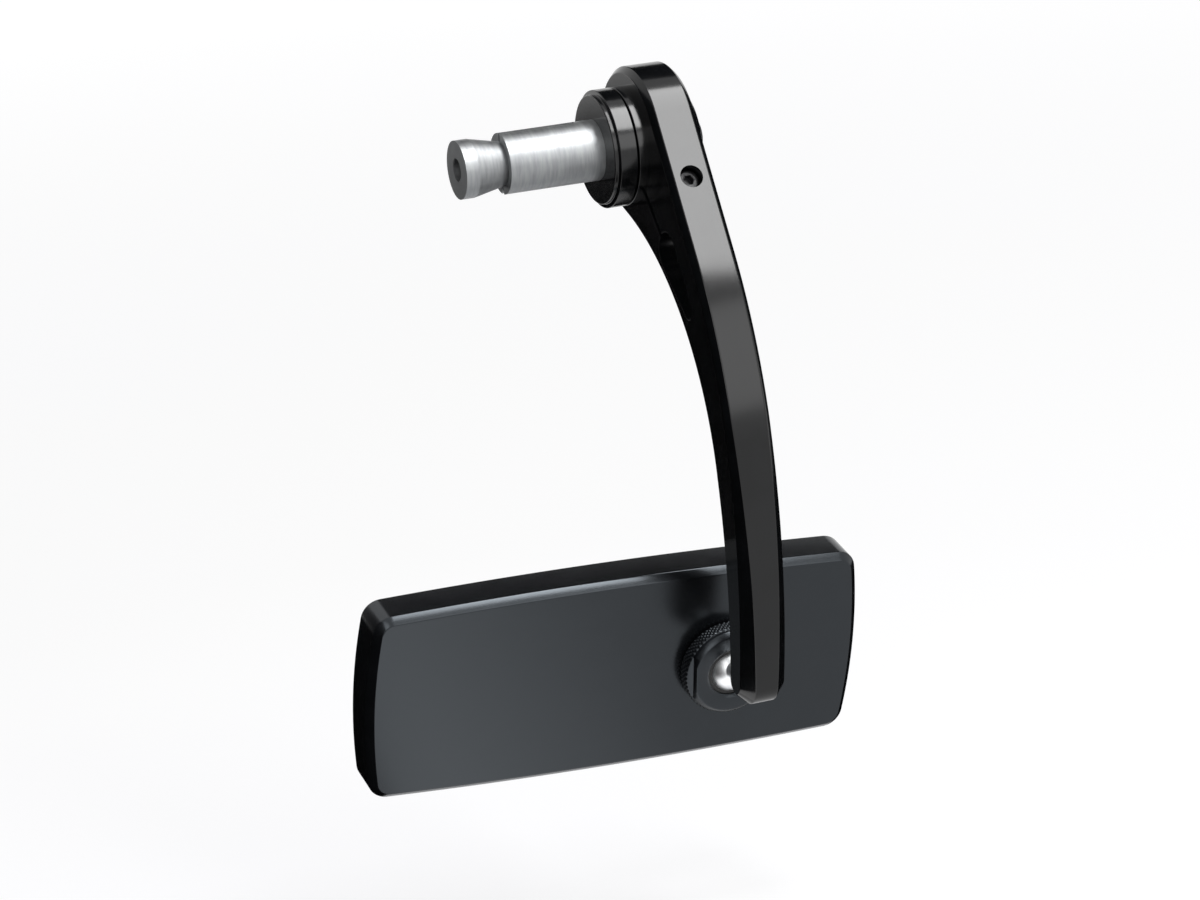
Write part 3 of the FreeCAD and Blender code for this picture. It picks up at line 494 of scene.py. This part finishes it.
def makeNut():
    steps = nut["count"] * nut["perKnurl"]
    pitch = twoPi * nut["r"] / nut["count"]
    verts, rings = [], []
    for r, z, knurled, flat in nutRows():
        rings.append(list(range(len(verts), len(verts) + steps)))
        for k in range(steps):
            out, turn, cell = r, twoPi * k / steps, k / nut["perKnurl"]
            if knurled:  # two crossing sets of grooves leave the diamonds
                out -= nut["deep"] * (1 - min(wave(cell + z / pitch), wave(cell - z / pitch)))
            x, y = out * math.cos(turn), out * math.sin(turn)
            if flat and abs(x) > flat:
                x = math.copysign(flat, x)
            verts.append((x, y, z))
    rings.append(rings[0])
    addPiece("knurled_nut", (verts, bandFaces(rings)), anodisedNut, "nut", ["socket_nut"], headPlace)


makeNut()
print("stage 4: ball and nut made")

# head: four bowed sides with round corners, set off from the ball and slightly rolled
head = {"long": 138.0, "high": 56.0, "thick": 12.0, "endBulge": 2.2, "sideBulge": 1.6, "cornerR": 5.5,
        "backEdge": 1.8, "along": -30.3, "up": 0.6, "roll": 2.6, "backDrop": 3.0, "rim": 2.0,
        "glassSink": 0.3, "glassThick": 2.0, "glassGap": 0.15, "pad": 0.5, "backSoft": 0.25,
        "frontSoft": 0.6, "frontMid": 0.18, "rimSoft": 0.3, "rimMid": 0.08, "glassSoft": 0.5,
        "glassMid": 0.12, "endSteps": 14, "cornerSteps": 14, "sideSteps": 30}


# radius of an arc from its half chord and its rise
def bowR(halfChord, rise):
    return (halfChord ** 2 + rise ** 2) / (2 * rise)


def headOutline(inset):
    halfL, halfH = head["long"] / 2, head["high"] / 2
    longR = bowR(halfL - head["endBulge"], head["sideBulge"])
    shortR = bowR(halfH - head["sideBulge"], head["endBulge"])
    topCentre = Vector((0, halfH - longR))
    endCentre = Vector((halfL - shortR, 0))
    # the corner's circle lies inside both arcs and touches them
    across = endCentre - topCentre
    toTop, toEnd = longR - head["cornerR"], shortR - head["cornerR"]
    along = (toTop ** 2 - toEnd ** 2 + across.length_squared) / (2 * across.length)
    unit = across.normalized()
    corner = topCentre + unit * along + Vector((unit.y, -unit.x)) * math.sqrt(toTop ** 2 - along ** 2)
    topTurn, endTurn = turnOf(corner - topCentre), turnOf(corner - endCentre)
    quarter = arcPoints(endCentre, shortR - inset, 0, endTurn, head["endSteps"])[:-1]
    quarter += arcPoints(corner, head["cornerR"] - inset, endTurn, topTurn, head["cornerSteps"])[:-1]
    quarter += arcPoints(topCentre, longR - inset, topTurn, halfPi, head["sideSteps"])
    ring = []
    for xSide, ySide in ((1, 1), (-1, 1), (-1, -1), (1, -1)):
        points = quarter if xSide == ySide else quarter[::-1]
        ring += [Vector((p.x * xSide, p.y * ySide)) for p in points][:-1]
    turn = Matrix.Rotation(-math.radians(head["roll"]), 2)
    return [turn @ (p + Vector((head["along"], head["up"]))) for p in ring]


# the head's outline stacked in (inset, height) rows, closed at both ends
def stackedMesh(rows):
    verts, rings = [], []
    for inset, z in rows:
        ring = [(p.x, p.y, z) for p in headOutline(inset)]
        rings.append(list(range(len(verts), len(verts) + len(ring))))
        verts += ring
    return verts, bandFaces(rings) + [rings[0], rings[-1]]


def makeHead():
    back = -head["backDrop"]
    front = back - head["thick"]
    edge, soft, rim = head["backEdge"], head["backSoft"], head["rim"]
    nip = edges["nip"] * soft
    ledge = front + head["glassSink"] + head["glassThick"] + head["pad"]
    shell = [(edge + soft, back), (edge - nip, back - nip), (nip, back - edge + nip),
             (0, back - edge - soft), (0, front + head["frontSoft"]),
             (head["frontMid"], front + head["frontMid"]),
             (head["frontSoft"], front), (rim - head["rimSoft"], front),
             (rim - head["rimMid"], front + head["rimMid"]), (rim, front + head["rimSoft"]), (rim, ledge)]
    addPiece("head_shell", stackedMesh(shell), anodisedHead, "head", ["head_housing"], headPlace)
    side, face = rim + head["glassGap"], front + head["glassSink"]
    glass = [(side + head["glassSoft"], face), (side + head["glassMid"], face + head["glassMid"]),
             (side, face + head["glassSoft"]), (side, face + head["glassThick"])]
    addPiece("glass_plate", stackedMesh(glass), silvered, "head", ["mirror_glass"], headPlace)


makeHead()
print("stage 5: head made")

washer = {"r": 13.5, "thick": 3.0, "edge": 1.2, "seatR": 5.25, "underBolt": 1.5}
bolt = {"r": 3.0, "deep": 32.0, "headR": 5.0, "headLen": 5.0, "headEdge": 0.6, "hexHalf": 2.5,
        "hexDeep": 3.0, "hexPast": 2.0, "soft": 0.12}


# turned pieces on the collar's axis, as (place along it, radius)
def makeBarEnd():
    holeR, spigotR = collar["holeR"], collar["spigotR"]
    line = [(0, holeR), (0, collar["stepR"]), (collar["stepLen"], collar["stepR"]),
            (collar["stepLen"], collar["r"]), (collar["len"], collar["r"]), (collar["len"], spigotR),
            (spigotEnd, spigotR), (spigotEnd, holeR)]
    addPiece("collar_turned", turnedMesh(line), anodisedTurned, "bar_end", ["bar_end_collar"], barPlace)
    end, seat, edge = spigotEnd + washer["thick"], spigotEnd + washer["underBolt"], washer["edge"]
    line = [(spigotEnd, holeR), (spigotEnd, washer["r"]), (end - edge, washer["r"]),
            (end, washer["r"] - edge), (end, washer["seatR"]), (seat, washer["seatR"]), (seat, holeR)]
    addPiece("washer_turned", turnedMesh(line), anodisedTurned, "bar_end", ["retaining_washer"], barPlace)
    top, edge = seat + bolt["headLen"], bolt["headEdge"]
    line = [(-bolt["deep"], 0), (-bolt["deep"], bolt["r"]), (seat, bolt["r"]), (seat, bolt["headR"]),
            (top - edge, bolt["headR"]), (top, bolt["headR"] - edge), (top, 0)]
    piece = loose("bolt_turned", *turnedMesh(line, midRound, False), barPlace)
    key = prismMesh(hexagon(bolt["hexHalf"]), top - bolt["hexDeep"], top + bolt["hexPast"])
    cutOut(piece, [loose("cut_bolt_hex", *key, barPlace)], bolt["soft"])
    settle(piece, blackOxide, "bar_end", ["centre_bolt"])


makeBarEnd()
# solids that show as they are
keptSolids = {"expander_sleeve": turnedAluminium, "expander_wedge": turnedAluminium, "ball_ring": nylon,
              "ball_cup": nylon, "socket_base": anodised, "glass_pad": foam, "socket_screws": zincPlate}
for node, material in keptSolids.items():
    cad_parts[node].data.materials.clear()
    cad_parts[node].data.materials.append(material)
print("stage 6: bar end made")

# pale floor under the hanging part, white where the camera or a reflection looks at it, in metres
stage = {"drop": 0.045, "reach": 9.0, "paint": "#8c8c8c", "paintLight": "#8c8c90", "nearGlow": 0.74,
         "farGlow": 0.97, "near": 0.4, "far": 2.2, "skyFill": 0.35, "skyGlow": 1.0, "cardLift": 0.004}
floorLevel = cadLow.z - stage["drop"]
white = (1, 1, 1, 1)


# 1 for what the camera, a reflection or a see-through ray looks at, 0 for light that falls on things
def lookedAt(tree):
    shown = addNode(tree, "ShaderNodeLightPath")
    either = addNode(tree, "ShaderNodeMath", {0: (shown, "Is Camera Ray"), 1: (shown, "Is Glossy Ray")},
                     operation="MAXIMUM")
    return addNode(tree, "ShaderNodeMath", {0: (either, "Value"), 1: (shown, "Is Transmission Ray")},
                   operation="MAXIMUM")


def flatCorners(left, right, front, rear, height):
    return [(left, front, height), (right, front, height), (right, rear, height), (left, rear, height)]


def addCard(name, corners, paint, reflectionOnly=True):
    mesh = bpy.data.meshes.new(name)
    mesh.from_pydata(corners, [], [[0, 1, 2, 3]])
    card = bpy.data.objects.new(name, mesh)
    bpy.context.scene.collection.objects.link(card)
    card.data.materials.append(paint)
    if reflectionOnly:
        card.visible_camera = card.visible_diffuse = card.visible_shadow = False


# studio floor paint, rolled on: matt and even, its glow fading up towards the far white
def makeFloor():
    paint = surface("studio_floor_paint", stage["paint"], stage["paintLight"], (0.8, 0.9), toneMm=400.0,
                    grain=0.0)
    tree = paint.node_tree
    place = addNode(tree, "ShaderNodeTexCoord")
    away = addNode(tree, "ShaderNodeVectorMath", {"Vector": (place, "Object")}, operation="LENGTH")
    glow = addNode(tree, "ShaderNodeMapRange", {
        "Value": (away, "Value"), "From Min": stage["near"], "From Max": stage["far"],
        "To Min": stage["nearGlow"], "To Max": stage["farGlow"]})
    lit = addNode(tree, "ShaderNodeMath", {0: (glow, "Result"), 1: (lookedAt(tree), "Value")},
                  operation="MULTIPLY")
    shader = tree.nodes["Principled BSDF"]
    shader.inputs["Specular IOR Level"].default_value = 0.0
    shader.inputs["Emission Color"].default_value = white
    tree.links.new(lit.outputs["Value"], shader.inputs["Emission Strength"])
    far = stage["reach"]
    addCard("floor", flatCorners(-far, far, -far, far, floorLevel), paint, False)


# black cards that only reflections see, as the dark side of a studio, by their corners in metres
flatLevel = floorLevel + stage["cardLift"]
blackCards = {
    "left_card": [(-0.42, -0.5, floorLevel), (-0.42, 0.6, floorLevel), (-0.42, 0.6, 0.4), (-0.42, -0.5, 0.4)],
    "left_floor_card": [(-0.42, -0.45, flatLevel), (-0.07, -0.3, flatLevel), (-0.07, 1.1, flatLevel),
                        (-0.8, 1.1, flatLevel)],
    "right_floor_card": [(0.08, -0.04, flatLevel), (0.6, -0.1, flatLevel), (0.6, 0.28, flatLevel),
                         (0.08, 0.28, flatLevel)],
    "right_card": [(0.5, 0.08, floorLevel), (0.4, 0.33, floorLevel), (0.4, 0.33, 0.25), (0.5, 0.08, 0.25)],
    "top_card": [(-0.02, 0.345, 0.149), (0.36, 0.345, 0.149), (0.36, 0.15, 0.379), (-0.02, 0.15, 0.379)]}


# cotton velvet, its cut pile standing up: a black that gives back next to nothing
def makeBlackCards():
    velvet = surface("black_velvet", "#020202", "#040404", (0.9, 1.0), ior=1.05, grain=0.0)
    for name, corners in blackCards.items():
        addCard(name, corners, velvet)


# white card under the head's free end that glows, though it is no lamp, and that only reflections see: a
# painted reflection on the head, an even glow that fades out towards the ball
whiteCard = {"left": -0.06, "right": 0.04, "front": -0.25, "rear": -0.03, "lift": 0.006, "fadeFrom": 0.03,
             "fadeTo": -0.04, "glow": 2.0}


def makeWhiteCard():
    reflectedGlow = emptyMaterial("white_card_reflected_glow")
    tree = reflectedGlow.node_tree
    place = addNode(tree, "ShaderNodeTexCoord")
    across = addNode(tree, "ShaderNodeSeparateXYZ", {"Vector": (place, "Object")})
    fade = addNode(tree, "ShaderNodeMapRange", {"Value": (across, "X"), "From Min": whiteCard["fadeFrom"],
                                                "From Max": whiteCard["fadeTo"]})
    clear = addNode(tree, "ShaderNodeBsdfTransparent")
    # the card's glow is painted reflection light, not a lamp
    glow = addNode(tree, "ShaderNodeEmission", {"Strength": whiteCard["glow"]})
    mixed = addNode(tree, "ShaderNodeMixShader", {0: (fade, "Result"), 1: (clear, "BSDF"),
                                                  2: (glow, "Emission")})
    addNode(tree, "ShaderNodeOutputMaterial", {"Surface": (mixed, "Shader")})
    sides = [whiteCard[k] for k in ("left", "right", "front", "rear")]
    addCard("white_card", flatCorners(*sides, floorLevel + whiteCard["lift"]), reflectedGlow)


def makeSky():
    world = bpy.data.worlds.new("studio")
    bpy.context.scene.world = world
    world.use_nodes = True
    tree = world.node_tree
    tree.nodes.clear()
    level = addNode(tree, "ShaderNodeMapRange", {
        "Value": (lookedAt(tree), "Value"), "To Min": stage["skyFill"], "To Max": stage["skyGlow"]})
    back = addNode(tree, "ShaderNodeBackground", {"Color": white, "Strength": (level, "Result")})
    addNode(tree, "ShaderNodeOutputWorld", {"Surface": (back, "Background")})


# softboxes: place and aim in metres, size across and along, power, and the direction of the long side
armTop = (0.016, -0.02, -0.02)
lamps = {
    "top_strip": {"place": (0.34, -0.335, 0.773), "aim": armTop, "wide": 0.30, "tall": 0.75, "watts": 8.6,
                  "along": (0, 0.966, 0.259)},
    "front_panel": {"place": (0.43, -1.02, 0.375), "aim": armTop, "wide": 0.5, "tall": 0.55, "watts": 1.75,
                    "along": (0, 0, 1)},
    "front_fill": {"place": (-0.9, -1.3, 0.7), "aim": (0, 0, -0.08), "wide": 0.9, "tall": 0.9,
                   "watts": 6.0, "along": (0, 0, 1)}}


def makeLamp(name, lamp):
    glow = bpy.data.lights.new(name, "AREA")
    glow.shape = "RECTANGLE"
    glow.size, glow.size_y = lamp["wide"], lamp["tall"]
    glow.energy = lamp["watts"]
    light = bpy.data.objects.new(name, glow)
    bpy.context.scene.collection.objects.link(light)
    back = (Vector(lamp["place"]) - Vector(lamp["aim"])).normalized()
    along = Vector(lamp["along"])
    up = (along - back * back.dot(along)).normalized()
    light.matrix_world = Matrix((up.cross(back), up, back)).transposed().to_4x4()
    light.location = lamp["place"]


makeFloor()
makeBlackCards()
makeWhiteCard()
makeSky()
for name, lamp in lamps.items():
    makeLamp(name, lamp)

# camera where the photograph was taken from, aimed at the middle of the part
view = {"from": Vector((-355, -940, 200)), "aim": Vector((-15, -28, -72)), "roll": 4.2, "lens": 118.0,
        "sensor": 36.0, "clipNear": 0.05, "clipFar": 50}


def makeCamera():
    lens = bpy.data.cameras.new("camera")
    lens.lens, lens.sensor_width = view["lens"], view["sensor"]
    lens.clip_start, lens.clip_end = view["clipNear"], view["clipFar"]
    camera = bpy.data.objects.new("camera", lens)
    bpy.context.scene.collection.objects.link(camera)
    looking = (view["aim"] - view["from"]).to_track_quat("-Z", "Y").to_matrix().to_4x4()
    rolled = Matrix.Rotation(-math.radians(view["roll"]), 4, "Z")
    camera.matrix_world = Matrix.Translation(view["from"] * mm) @ looking @ rolled
    bpy.context.scene.camera = camera


makeCamera()
bpy.context.scene.view_settings.view_transform = "Standard"
print("stage 7: stage, light and camera set")
